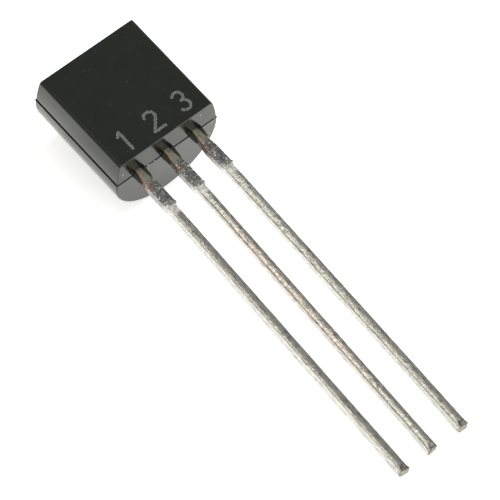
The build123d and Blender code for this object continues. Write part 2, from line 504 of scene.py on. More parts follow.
class Finish:
    """A material in the making, with short calls for what the finishes have in common."""

    def __init__(self, name: str, groups: Groups, **constants) -> None:
        """Starts a material whose constants are set on the shader's own sockets.

        Args:
            name: The material's name.
            groups: The shared node groups.
            constants: Values of the shader's sockets, with _ for a space.
        """
        self.material = bpy.data.materials.new(name)
        self.material.use_nodes = True
        self.tree = self.material.node_tree
        self.groups = groups
        self.shader = self.tree.nodes["Principled BSDF"]
        for socket, value in constants.items():
            self.shader.inputs[socket.replace("_", " ")].default_value = value
        self.place = groups.axes.coordinates(self.tree)

    def grain(self, grain: Grain) -> Socket:
        """Places the grain group.

        Args:
            grain: Its settings.

        Returns:
            The socket of its value.
        """
        node = add_node(self.tree, "ShaderNodeGroup", node_tree=self.groups.grain)
        settings = {"Scale": grain.scale, "Along": grain.along,
                    "Low": grain.low, "High": grain.high}
        for socket, value in settings.items():
            node.inputs[socket].default_value = value
        return node.outputs["Value"]

    def specks(self, specks: Specks) -> Socket:
        """Places the specks group.

        Args:
            specks: Its settings.

        Returns:
            The socket of its mask.
        """
        node = add_node(self.tree, "ShaderNodeGroup", node_tree=self.groups.specks)
        settings = {"Scale": specks.scale, "Size": specks.size, "Share": specks.share}
        for socket, value in settings.items():
            node.inputs[socket].default_value = value
        return node.outputs["Mask"]

    def axis(self, name: str) -> Socket:
        """The place along one package axis, in millimetres.

        Args:
            name: The axis.

        Returns:
            The socket of the place.
        """
        split = add_node(self.tree, "ShaderNodeSeparateXYZ")
        self.tree.links.new(self.place, split.inputs[0])
        return split.outputs[name]

    def ramp(self, value: Socket, span: Span) -> Socket:
        """A smooth mask that goes from 0 to 1 over a span."""
        return add_ramp(self.tree, value, span)

    def math(self, operation: str, *values: Socket | float) -> Socket:
        """Adds a Math node on sockets and numbers.

        Args:
            operation: Its operation.
            values: Sockets to link and numbers to set, in order.

        Returns:
            Its result.
        """
        node = add_node(self.tree, "ShaderNodeMath", operation=operation)
        for number, value in enumerate(values):
            if isinstance(value, (int, float)):
                node.inputs[number].default_value = value
            else:
                self.tree.links.new(value, node.inputs[number])
        return node.outputs[0]

    def times(self, first: Socket, second: Socket | float) -> Socket:
        """One value times another."""
        return self.math("MULTIPLY", first, second)

    def plus(self, first: Socket, second: Socket | float) -> Socket:
        """One value plus another."""
        return self.math("ADD", first, second)

    def most(self, first: Socket, second: Socket | float) -> Socket:
        """The larger of two values."""
        return self.math("MAXIMUM", first, second)

    def mix(self, mask: Socket, first: Socket | Triple, second: Socket | Triple) -> Socket:
        """Mixes two colours by a mask.

        Args:
            mask: The mask's socket.
            first: The colour, or its socket, where the mask is 0.
            second: The colour, or its socket, where the mask is 1.

        Returns:
            The mixed colour's socket.
        """
        node = add_node(self.tree, "ShaderNodeMix", data_type="RGBA")
        self.tree.links.new(mask, node.inputs["Factor"])
        for socket, colour in ((node.inputs[6], first), (node.inputs[7], second)):
            if isinstance(colour, tuple):
                socket.default_value = (*colour, 1.0)
            else:
                self.tree.links.new(colour, socket)
        return node.outputs[2]

    def feed(self, socket: str, value: Socket) -> None:
        """Links a value to a socket of the shader."""
        self.tree.links.new(value, self.shader.inputs[socket])

    def bump(self, height: Socket, relief: Relief) -> None:
        """Feeds a bump to the shader, on top of any that it has.

        Args:
            height: The socket of its height.
            relief: Its settings.
        """
        depth = {"Strength": relief.strength, "Distance": relief.depth * MM}
        node = add_node(self.tree, "ShaderNodeBump", depth)
        self.tree.links.new(height, node.inputs["Height"])
        normal = self.shader.inputs["Normal"]
        if normal.is_linked:
            self.tree.links.new(normal.links[0].from_socket, node.inputs["Normal"])
        self.tree.links.new(node.outputs["Normal"], normal)

    def wear(self, piece: Piece) -> None:
        """Gives the material to a piece as its only one.

        Args:
            piece: The piece.
        """
        if piece.material_slots:
            for slot in piece.material_slots:
                slot.material = self.material
        else:
            piece.data.materials.append(self.material)


def install(obj: Piece, axes: PackageAxes, finish: Finish, slot: Slot, *nodes: str) -> None:
    """Places a finished piece, dresses it and ties it to the frame.

    Args:
        obj: The piece, in package millimetres.
        axes: The package's axes.
        finish: What it wears.
        slot: The record's slot for that finish; not used.
        nodes: The CAD nodes that it stands for.
    """
    axes.place(obj)
    finish.wear(obj)
    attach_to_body(obj, "root")
    if nodes:
        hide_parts(*nodes)
    log.info("%s: %d faces, %s", obj.name, len(obj.data.polygons), finish.material.name)


@dataclass(frozen=True)
class ResinFinish:
    """Black moulding resin: glossy, faintly green, with pale filler, dust and olive, thin flash."""

    deep: Triple = (0.0064, 0.0078, 0.0056)
    pale: Triple = (0.0098, 0.0112, 0.0086)
    filler: Triple = (0.06, 0.065, 0.06)
    dust: Triple = (0.62, 0.63, 0.60)
    flash: Triple = (0.020, 0.021, 0.010)
    sheen: Triple = (0.96, 1.0, 0.93)
    refraction: float = 1.64
    clouds: Grain = Grain(1.6)
    filler_specks: Specks = Specks(7.0, 0.12, 0.2)
    loose_dust: Specks = Specks(2.6, 0.075, 0.16)
    # Pale specks along the parting line, in the dust's tone
    seam_specks: Specks = Specks(7.0, 0.30, 0.20)
    below_flat: Span = Span(1.03, 0.96)
    beside_seam: Span = Span(0.045, 0.02)
    out_of_body: Span = Span(-0.015, -0.06)
    gloss: Grain = Grain(5.0, 0.10, 0.17)
    flash_matt: float = 0.7
    skin: Grain = Grain(26.0)
    relief: Relief = Relief(0.0012, 0.35)

    def make(self, groups: Groups) -> Finish:
        """Builds the material.

        Args:
            groups: The shared node groups.

        Returns:
            The finish.
        """
        finish = Finish("black_moulding_resin", groups, IOR=self.refraction,
                        Specular_Tint=(*self.sheen, 1.0))
        tone = finish.mix(finish.grain(self.clouds), self.deep, self.pale)
        filled = finish.mix(finish.specks(self.filler_specks), tone, self.filler)
        above = finish.axis("Z")
        loose = finish.times(finish.specks(self.loose_dust), finish.ramp(above, self.below_flat))
        seam = finish.ramp(finish.math("ABSOLUTE", above), self.beside_seam)
        # Pale specks scattered along the parting line
        seam_specked = finish.times(finish.specks(self.seam_specks), seam)
        dusted = finish.mix(finish.most(loose, seam_specked), filled, self.dust)
        on_flash = finish.ramp(finish.axis("Y"), self.out_of_body)
        finish.feed("Base Color", finish.mix(on_flash, dusted, self.flash))
        matt = finish.times(on_flash, self.flash_matt)
        finish.feed("Roughness", finish.plus(finish.grain(self.gloss), matt))
        finish.bump(finish.grain(self.skin), self.relief)
        return finish


@dataclass(frozen=True)
class MarkFinish:
    """Resin frosted grey by a laser."""

    deep: Triple = (0.060, 0.064, 0.058)
    pale: Triple = (0.24, 0.245, 0.232)
    refraction: float = 1.5
    frosting: Grain = Grain(17.0)
    gloss: Grain = Grain(9.0, 0.6, 0.85)
    skin: Grain = Grain(40.0)
    relief: Relief = Relief(0.004, 0.6)

    def make(self, groups: Groups) -> Finish:
        """Builds the material.

        Args:
            groups: The shared node groups.

        Returns:
            The finish.
        """
        finish = Finish("laser_frosted_resin", groups, IOR=self.refraction)
        tone = finish.mix(finish.grain(self.frosting), self.deep, self.pale)
        finish.feed("Base Color", tone)
        finish.feed("Roughness", finish.grain(self.gloss))
        finish.bump(finish.grain(self.skin), self.relief)
        return finish


@dataclass(frozen=True)
class PlatingPlaces:
    """Where the plating changes along a lead, as sockets of one material."""

    along: Socket
    across: Socket
    height: Socket
    root: Socket
    on_shank: Socket
    scuffed: Socket
    streaks: Socket
    cut: Socket


@dataclass(frozen=True)
class PlatingFinish:
    """Tin on copper: mottled, drawn lengthwise, warm where copper shows, brown painted shade along
    low edges, white past the shoulder partly painted highlight.
    """

    bright: Triple = (0.88, 0.86, 0.80)
    dull: Triple = (0.36, 0.355, 0.32)
    stamped: Triple = (0.46, 0.46, 0.455)
    tinge: Triple = (0.88, 0.80, 0.74)
    grimy: Triple = (0.13, 0.13, 0.125)
    oxide: Triple = (0.17, 0.165, 0.14)
    stained: Triple = (0.40, 0.37, 0.29)
    copper: Triple = (0.56, 0.35, 0.25)
    # Painted highlight in part: the white strip past the shoulder and the white specks stand for
    # glints of light as well as matt plating
    frosted: Triple = (0.95, 0.94, 0.90)
    # Painted shade: brown darkening of the lower edges and of the cut end's lower part, standing in
    # for the shadowed floor that they mirror
    painted_low_shade: Triple = (0.15, 0.115, 0.085)
    cut_end: Triple = (0.27, 0.26, 0.21)
    pitch: float = 1.27
    shoulder_end: float = 1.82
    bend_start: float = 1.98
    slope: float = 0.0784
    end: float = 14.09

    root_part: Span = Span(-0.66, -0.42)
    root_grain: Grain = Grain(7.0, 0.5, 1.0)
    band: float = 0.30
    band_start: Span = Span(0.03, -0.03)
    band_end: Span = Span(-0.12, 0.06)
    frost_and_highlight: Grain = Grain(13.0, 0.0, 1.2)
    streak: Grain = Grain(12.0, along=0.10)
    mottle: Grain = Grain(13.0, -0.1, 1.0, along=0.35)
    mottle_least: float = 0.4
    speckle: Grain = Grain(30.0, -0.4, 0.9)
    shank_start: Span = Span(0.04, -0.04)
    scuff_part: Span = Span(-1.48, -1.76)
    scuff: Grain = Grain(9.0)
    grime: Grain = Grain(11.0, -0.4, 1.0)
    middle_lead: Span = Span(0.6, 0.4)
    tinge_start: Span = Span(-2.6, -4.2)
    tinge_end: Span = Span(-12.0, -8.0)
    pits: Specks = Specks(11.0, 0.25, 0.12)
    neck_part: Span = Span(-1.05, -0.80)
    left_edge: Span = Span(-0.07, -0.14)
    baring: Grain = Grain(7.0)
    off_root: Span = Span(0.4, 0.0)
    off_shank: Span = Span(1.5, 0.0)
    glint_flecks: Specks = Specks(14.0, 0.40, 0.34)
    fleck_tone: Grain = Grain(4.0, 0.1, 1.0)
    cut_start: Span = Span(0.0, -0.03)
    cut_grain: Grain = Grain(10.0, 0.5, 1.0)
    # Where the painted shade of the lower edges and of the cut end's lower part lies
    underside: Span = Span(-0.09, -0.15)
    cut_underside: Span = Span(0.0, -0.10)
    low_grain: Grain = Grain(9.0, 0.35, 1.0, along=0.3)
    smudge_part: Span = Span(0.45, 0.1)
    smudge: Grain = Grain(6.0, -0.5, 1.0)
    root_matt: float = 0.6
    matt_metal: float = 0.6
    gloss: Grain = Grain(12.0, 0.10, 0.24, along=0.4)
    matt_rough: float = 0.3
    cut_rough: float = 0.3
    skin: Grain = Grain(16.0, along=0.7)
    shank_skin: Span = Span(-1.0, 1.0)
    nibs: Specks = Specks(8.0, 0.32, 0.35)
    nib_least: float = 0.4
    relief: Relief = Relief(0.008, 0.8)
    streak_relief: Relief = Relief(0.003, 0.3)

    def make(self, groups: Groups) -> Finish:
        """Builds the material.

        Args:
            groups: The shared node groups.

        Returns:
            The finish.
        """
        finish = Finish("tin_plated_copper", groups)
        places = self._places(finish)
        # Painted highlight in part: white past the shoulder and in specks on the stamped part
        white = self._painted_highlight_and_frost(finish, places)
        frosted_and_highlighted = finish.mix(white, self._metal(finish, places), self.frosted)
        finish.feed("Base Color", self._worn_and_shaded(finish, places, frosted_and_highlighted))
        self._surface(finish, places, white)
        return finish

    def _places(self, finish: Finish) -> PlatingPlaces:
        """Finds the places that the plating follows.

        Args:
            finish: The material.

        Returns:
            Their sockets.
        """
        along = finish.axis("Y")
        past_bend = finish.most(finish.math("SUBTRACT", -self.bend_start, along), 0.0)
        cut = finish.ramp(along, self.cut_start.moved(-self.end))
        return PlatingPlaces(
            along=along,
            across=finish.math("WRAP", finish.axis("X"), self.pitch / 2, -self.pitch / 2),
            height=finish.plus(finish.axis("Z"), finish.times(past_bend, self.slope)),
            root=finish.times(finish.ramp(along, self.root_part), finish.grain(self.root_grain)),
            on_shank=finish.ramp(along, self.shank_start.moved(-self.shoulder_end)),
            scuffed=finish.times(finish.ramp(along, self.scuff_part), finish.grain(self.scuff)),
            streaks=finish.grain(self.streak),
            cut=finish.times(cut, finish.grain(self.cut_grain)),
        )

    def _metal(self, finish: Finish, places: PlatingPlaces) -> Socket:
        """The plating before it is frosted or worn, with copper bared at the neck.

        Args:
            finish: The material.
            places: Where the plating changes.

        Returns:
            The colour's socket.
        """
        grime = finish.mix(finish.grain(self.grime), self.stamped, self.grimy)
        plate = finish.mix(places.scuffed, grime, self.bright)
        shank = finish.mix(places.on_shank, plate, self._bar(finish, places))
        pitted = finish.mix(finish.specks(self.pits), shank, self.oxide)
        edge = finish.times(finish.ramp(places.along, self.neck_part),
                            finish.ramp(places.across, self.left_edge))
        bared = finish.times(edge, finish.grain(self.baring))
        return finish.mix(bared, finish.mix(places.root, pitted, self.stained), self.copper)

    def _bar(self, finish: Finish, places: PlatingPlaces) -> Socket:
        """The drawn bar, whose plating is thin and warm along the middle lead.

        Args:
            finish: The material.
            places: Where the plating changes.

        Returns:
            The colour's socket.
        """
        mottle = finish.times(finish.grain(self.mottle),
                              finish.plus(places.streaks, self.mottle_least))
        specked = finish.most(mottle, finish.grain(self.speckle))
        drawn = finish.mix(specked, self.bright, self.dull)
        middle = finish.ramp(finish.math("ABSOLUTE", finish.axis("X")), self.middle_lead)
        stretch = finish.times(finish.ramp(places.along, self.tinge_start),
                               finish.ramp(places.along, self.tinge_end))
        warm = finish.mix(mottle, self.tinge, self.dull)
        return finish.mix(finish.times(middle, stretch), drawn, warm)

    def _painted_highlight_and_frost(self, finish: Finish, places: PlatingPlaces) -> Socket:
        """The white strip past the shoulder and the white specks of the stamped part: matt as if
        frosted, and partly painted highlight standing for glints of light.

        Args:
            finish: The material.
            places: Where the plating changes.

        Returns:
            The mask's socket.
        """
        start = self.band_start.moved(-self.shoulder_end)
        end = self.band_end.moved(-self.shoulder_end - self.band)
        band = finish.times(finish.ramp(places.along, start), finish.ramp(places.along, end))
        clean = finish.times(finish.ramp(places.root, self.off_root),
                             finish.ramp(places.on_shank, self.off_shank))
        glint_flecks = finish.times(finish.specks(self.glint_flecks), clean)
        return finish.most(finish.times(band, finish.grain(self.frost_and_highlight)),
                           finish.times(glint_flecks, finish.grain(self.fleck_tone)))

    def _worn_and_shaded(self, finish: Finish, places: PlatingPlaces, tone: Socket) -> Socket:
        """The tone with the smudge before the tip, the bare cut end and brown painted shade at the
        low edges.

        Args:
            finish: The material.
            places: Where the plating changes.
            tone: The plating's colour.

        Returns:
            The worn colour's socket.
        """
        near_tip = finish.ramp(places.along, self.smudge_part.moved(-self.end))
        smudge = finish.times(near_tip, finish.grain(self.smudge))
        worn = finish.mix(places.cut, finish.mix(smudge, tone, self.oxide), self.cut_end)
        # Painted shade: the lower edges and the lower part of the cut end turn brown, as the
        # shadowed floor below them would make them look
        under_cut = finish.times(places.cut, finish.ramp(places.height, self.cut_underside))
        under = finish.most(finish.ramp(places.height, self.underside), under_cut)
        return finish.mix(finish.times(under, finish.grain(self.low_grain)), worn, self.painted_low_shade)

    def _surface(self, finish: Finish, places: PlatingPlaces, white: Socket) -> None:
        """Feeds metal, gloss and relief, with less metal and gloss where the plating is painted
        white.

        Args:
            finish: The material.
            places: Where the plating changes.
            white: The mask of the white plating, partly painted highlight.
        """
        matt = finish.most(finish.times(places.root, self.root_matt), white)
        finish.feed("Metallic", finish.math("SUBTRACT", 1.0, finish.times(matt, self.matt_metal)))
        gloss = finish.plus(finish.grain(self.gloss), finish.times(matt, self.matt_rough))
        finish.feed("Roughness", finish.plus(gloss, finish.times(places.cut, self.cut_rough)))
        skin = finish.times(finish.grain(self.skin), finish.ramp(places.on_shank, self.shank_skin))
        nibs = finish.times(finish.specks(self.nibs), finish.plus(places.scuffed, self.nib_least))
        finish.bump(finish.plus(skin, nibs), self.relief)
        finish.bump(places.streaks, self.streak_relief)


@dataclass(frozen=True)
class SiliconFinish:
    """A die's face: grey-violet with blocks of circuit and fine metal lines."""

    plain: Triple = (0.10, 0.10, 0.13)
    block: Triple = (0.20, 0.17, 0.19)
    line: Triple = (0.42, 0.40, 0.36)
    metal: float = 0.6
    block_scale: float = 6.0
    block_width: float = 0.9
    block_height: float = 0.5
    line_width: float = 0.03
    clouds: Grain = Grain(9.0, 0.0, 0.5)
    gloss: Grain = Grain(12.0, 0.14, 0.3)
    relief: Relief = Relief(0.001, 0.4)

    def make(self, groups: Groups) -> Finish:
        """Builds the material.

        Args:
            groups: The shared node groups.

        Returns:
            The finish.
        """
        finish = Finish("silicon_with_circuit", groups, Metallic=self.metal)
        blocks = add_node(finish.tree, "ShaderNodeTexBrick", {
            "Scale": self.block_scale, "Mortar Size": self.line_width,
            "Brick Width": self.block_width, "Row Height": self.block_height,
            "Color1": (*self.plain, 1.0), "Color2": (*self.block, 1.0), "Mortar": (*self.line, 1.0),
        })
        finish.tree.links.new(finish.place, blocks.inputs["Vector"])
        clouded = finish.mix(finish.grain(self.clouds), blocks.outputs["Color"], self.plain)
        finish.feed("Base Color", clouded)
        finish.feed("Roughness", finish.grain(self.gloss))
        finish.bump(blocks.outputs["Fac"], self.relief)
        return finish


@dataclass(frozen=True)
class AttachFinish:
    """Silver-filled epoxy: grey paste full of bright flakes."""

    paste: Triple = (0.36, 0.36, 0.34)
    flake: Triple = (0.78, 0.77, 0.74)
    flakes: Specks = Specks(45.0, 0.4, 0.5)
    flake_metal: float = 0.9
    gloss: Grain = Grain(20.0, 0.35, 0.6)
    skin: Grain = Grain(30.0)
    relief: Relief = Relief(0.002, 0.5)

    def make(self, groups: Groups) -> Finish:
        """Builds the material.

        Args:
            groups: The shared node groups.

        Returns:
            The finish.
        """
        finish = Finish("silver_filled_epoxy", groups)
        flakes = finish.specks(self.flakes)
        finish.feed("Base Color", finish.mix(flakes, self.paste, self.flake))
        finish.feed("Metallic", finish.times(flakes, self.flake_metal))
        finish.feed("Roughness", finish.grain(self.gloss))
        finish.bump(finish.grain(self.skin), self.relief)
        return finish


@dataclass(frozen=True)
class GoldFinish:
    """Drawn gold wire with faint die lines along it."""

    light: Triple = (0.95, 0.70, 0.28)
    dark: Triple = (0.80, 0.52, 0.16)
    metal: float = 1.0
    clouds: Grain = Grain(25.0)
    gloss: Grain = Grain(40.0, 0.12, 0.28)
    skin: Grain = Grain(60.0)
    relief: Relief = Relief(0.0008, 0.4)

    def make(self, groups: Groups) -> Finish:
        """Builds the material.

        Args:
            groups: The shared node groups.

        Returns:
            The finish.
        """
        finish = Finish("drawn_gold", groups, Metallic=self.metal)
        tone = finish.mix(finish.grain(self.clouds), self.light, self.dark)
        finish.feed("Base Color", tone)
        finish.feed("Roughness", finish.grain(self.gloss))
        finish.bump(finish.grain(self.skin), self.relief)
        return finish


@dataclass
class MouldedBody:
    """The resin body: round back, front half with the flat, flash and the scar of the gate."""

    width: float = 4.52
    length: float = 4.54
    flat_height: float = 1.046
    flat_width: float = 4.13
    near_setback: float = 0.095
    far_setback: float = 0.06
    flat_corner: float = 0.14
    flank_bulge: float = 0.035
    flank_steps: int = 6
    corner_steps: int = 8
    lean_from: float = 0.8
    lean_step: float = 0.1
    back_straight: float = 0.21
    back_depth: float = 2.47
    back_draft: float = 0.04
    round_facets: int = 192
    side_ledge: float = 0.036
    end_ledge: float = 0.024
    end_edge: float = 0.03
    end_segments: int = 4
    back_edge: float = 0.07
    back_segments: int = 5
    side_break: float = 0.024
    end_break: float = 0.015
    break_segments: int = 3
    seam_clearance: float = 0.02
    buried: float = 0.12
    gate_width: float = 1.00
    gate_height: float = 0.28
    gate_proud: float = 0.05
    gate_step: float = 0.4
    gate_narrow: float = 0.92
    gate_low: float = 0.8
    gate_cuts: int = 5
    gate_rough_from: float = 0.6
    gate_rough: float = 0.2
    lead_pitch: float = 1.27
    neck_width: float = 0.25
    flash_width: float = 0.125
    flash_half: float = 0.145
    flash_lengths: Triple = (0.50, 0.55, 0.42)
    flash_steps: tuple[Triple, ...] = ((0.35, 0.95, 0.92), (0.45, 0.92, 0.85), (0.2, 0.86, 0.75))
    flash_cuts: int = 2
    flash_root: float = 0.05
    flash_rough: float = 0.012
    shade_angle: float = 35.0
    seed: int = 11

    def build(self) -> Piece:
        """Models the body.

        Returns:
            The body in package millimetres.
        """
        work = self._round_back()
        self._draft_ends(work)
        self._front_half(work)
        self._round_edges(work)
        body = work.close()
        unite(body, self._gate_scar())
        for number, length in enumerate(self.flash_lengths):
            x = (number - 1) * self.lead_pitch
            unite(body, self._flash(x, length, self.seed + number))
        return body

    def dress(self, body: Piece, axes: PackageAxes, finish: Finish) -> None:
        """Smooths the body, places it and gives it its finish."""
        shade(body, self.shade_angle, weighted=True)
        install(body, axes, finish, Slot.RESIN, "moulded_body")

    def _ends(self, height: float) -> Pair:
        """Where the front half's near and far end faces are at a height.

        Args:
            height: The height above the parting plane.

        Returns:
            Their places along the body.
        """
        share = height / self.flat_height
        near, far = (self.end_ledge + (setback - self.end_ledge) * share
                     for setback in (self.near_setback, self.far_setback))
        return near, self.length - far

    def _flank(self, height: float) -> float:
        """Half the width of the front half before its corners are rounded.

        Args:
            height: The height above the parting plane.

        Returns:
            Half the width there.
        """
        share = height / self.flat_height
        base, top = self.width / 2 - self.side_ledge, self.flat_width / 2
        return base + (top - base) * share + 4 * self.flank_bulge * share * (1 - share)

    def _levels(self) -> list[Pair]:
        """The section of the front half: the bulged flank, then the round into the flat.

        Returns:
            Pairs of height and half width from the parting plane up.
        """
        rise = self.flat_height
        inward = (self._flank(rise * self.lean_from)
                  - self._flank(rise * (self.lean_from + self.lean_step)))
        lean = math.atan2(inward, rise * self.lean_step)
        centre_z = rise - self.flat_corner
        start_z = centre_z + self.flat_corner * math.sin(lean)
        centre_x = self._flank(start_z) - self.flat_corner * math.cos(lean)
        heights = [start_z * step / self.flank_steps for step in range(self.flank_steps)]
        levels = [(height, self._flank(height)) for height in heights]
        for step in range(self.corner_steps + 1):
            angle = lean + (math.pi / 2 - lean) * step / self.corner_steps
            levels.append((centre_z + self.flat_corner * math.sin(angle),
                           centre_x + self.flat_corner * math.cos(angle)))
        return levels

    def _round_back(self) -> Workpiece:
        """Cuts a lying cylinder in half and raises its cut face to the parting plane.

        Returns:
            The back half in edit mode.
        """
        clear_selection()
        bpy.ops.mesh.primitive_cylinder_add(
            vertices=self.round_facets, radius=self.width / 2, depth=self.length,
            location=(0, self.length / 2, -self.back_straight), rotation=(math.pi / 2, 0, 0))
        work = Workpiece("resin_body")
        bpy.ops.mesh.select_all(action="SELECT")
        bpy.ops.mesh.bisect(plane_co=(0, 0, -self.back_straight), plane_no=(0, 0, 1),
                            use_fill=True, clear_outer=True, threshold=NEAR)
        work.pick_facing((0, 0, 1))
        work.extrude((0, 0, self.back_straight))
        self._dissolve_across(work, -self.back_straight)
        return work

    def _dissolve_across(self, work: Workpiece, height: float) -> None:
        """Dissolves the edges that run across a whole end face at a height.

        Args:
            work: The body in edit mode.
            height: The height above the parting plane.
        """
        work.pick(Pick.EDGES, lambda edge: abs(edge_run(edge).x) > self.width / 2
                  and abs(edge.verts[0].co.z - height) < NEAR)
        bpy.ops.mesh.dissolve_edges(use_verts=False)

    def _draft_ends(self, work: Workpiece) -> None:
        """Leans both end faces of the back half in towards the round back.

        Args:
            work: The body in edit mode.
        """
        lean = math.atan2(self.back_draft, self.back_depth)
        for end, angle in ((0.0, lean), (self.length, -lean)):
            work.pick(Pick.VERTS, lambda vert: abs(vert.co.y - end) < NEAR)
            work.turn(angle, "X", (0, end, 0))

    def _front_half(self, work: Workpiece) -> None:
        """Insets the parting plane by the ledge and raises the front half in steps to the flat.

        Args:
            work: The body in edit mode.
        """
        levels = self._levels()
        work.pick_facing((0, 0, 1))
        bpy.ops.mesh.inset(thickness=self.end_ledge, depth=0.0, use_even_offset=True)
        inset_half = self.width / 2 - self.end_ledge
        work.resize((levels[0][1] / inset_half, 1, 1), (0, self.length / 2, 0))
        for (low, wide), (high, narrow) in zip(levels, levels[1:]):
            (near, far), (next_near, next_far) = self._ends(low), self._ends(high)
            work.extrude((0, next_near - near, high - low))
            shorter = (next_far - next_near) / (far - near)
            work.resize((narrow / wide, shorter, 1), (0, next_near, 0))
        for height, _ in levels[1:-1]:
            self._dissolve_across(work, height)

    def _round_edges(self, work: Workpiece) -> None:
        """Rounds the edges of the end faces and breaks the outer edge of the ledge.

        Args:
            work: The body in edit mode.
        """
        for side, width, segments in ((1, self.end_edge, self.end_segments),
                                      (-1, self.back_edge, self.back_segments)):
            work.pick(Pick.EDGES, lambda edge: self._on_end(edge)
                      and edge_middle(edge).z * side > self.seam_clearance)
            work.bevel(width, segments)
        for along, width in ((True, self.side_break), (False, self.end_break)):
            work.pick(Pick.EDGES, lambda edge: self._on_ledge(edge) and self._along(edge) == along)
            work.bevel(width, self.break_segments)

    @staticmethod
    def _along(edge: Edge) -> bool:
        """Whether an edge runs along the body rather than across it."""
        run = edge_run(edge)
        return abs(run.y) > abs(run.x)

    @staticmethod
    def _on_end(edge: Edge) -> bool:
        """Whether an edge borders an end face and something else."""
        facing = [abs(face.normal.y) > FACING for face in edge.link_faces]
        return len(facing) == 2 and facing[0] != facing[1]

    def _on_ledge(self, edge: Edge) -> bool:
        """Whether an edge is on the outside of the ledge at the parting plane.

        Args:
            edge: The edge.

        Returns:
            True if it is.
        """
        level = all(abs(vert.co.z) < NEAR for vert in edge.verts)
        up = [face.normal.z > FACING for face in edge.link_faces]
        middle = edge_middle(edge)
        inner = abs(middle.x) < self.width / 2 - self.side_ledge / 2
        inside = self.end_ledge / 2 < middle.y < self.length - self.end_ledge / 2
        return level and len(up) == 2 and up[0] != up[1] and not (inner and inside)

    def _gate_scar(self) -> Piece:
        """The rough patch on the far end face where the runner of the mould was broken off.

        Returns:
            The patch as a solid.
        """
        half, step = self.gate_width / 2 - NEAR, self.gate_proud * self.gate_step
        work = add_block("gate_scar", (-half, self.length - self.buried, -self.gate_height),
                         (half, self.length + step, -NEAR))
        work.pick_facing((0, 1, 0))
        work.extrude((0, step, 0))
        middle = (0, self.length, -self.gate_height / 2)
        work.resize((self.gate_narrow, 1, self.gate_low), middle)
        bpy.ops.mesh.subdivide(number_cuts=self.gate_cuts)
        rough_from = self.length + self.gate_proud * self.gate_rough_from
        work.pick(Pick.VERTS, lambda vert: vert.co.y > rough_from)
        work.roughen(self.gate_proud * self.gate_rough, self.seed)
        return work.close()

    def _flash(self, x: float, length: float, seed: int) -> Piece:
        """The thin tongue of resin that crept out round one lead's neck.

        Args:
            x: The lead's place across the row.
            length: How far it crept.
            seed: Seed of its ragged edge.

        Returns:
            The tongue as a solid.
        """
        half = self.neck_width / 2 + self.flash_width
        work = add_block("flash", (x - half, 0.0, -self.flash_half),
                         (x + half, self.buried, self.flash_half))
        for share, wide, thick in self.flash_steps:
            work.pick_facing((0, -1, 0))
            work.extrude((0, -length * share, 0))
            work.resize((wide, 1, thick), (x, 0, 0))
        work.pick(Pick.EDGES, lambda edge: all(vert.co.y < NEAR for vert in edge.verts))
        bpy.ops.mesh.subdivide(number_cuts=self.flash_cuts)
        work.pick(Pick.VERTS, lambda vert: vert.co.y < -self.flash_root)
        work.roughen(self.flash_rough, seed)
        return work.close()


@dataclass(frozen=True)
class Tip:
    """How a lead's cut end is shaped."""

    flare: float
    pinch: float
    slant: float
    lean: float
    dent: float
    lip: float


class TipCut(Enum):
    """The three cut ends."""

    FLARED = Tip(flare=1.05, pinch=0.94, slant=-4.0, lean=-8.0, dent=0.03, lip=0.02)
    SHEARED = Tip(flare=1.04, pinch=0.95, slant=6.0, lean=-4.0, dent=0.06, lip=-0.03)
    BLUNT = Tip(flare=1.01, pinch=0.98, slant=4.0, lean=-10.0, dent=0.05, lip=0.015)


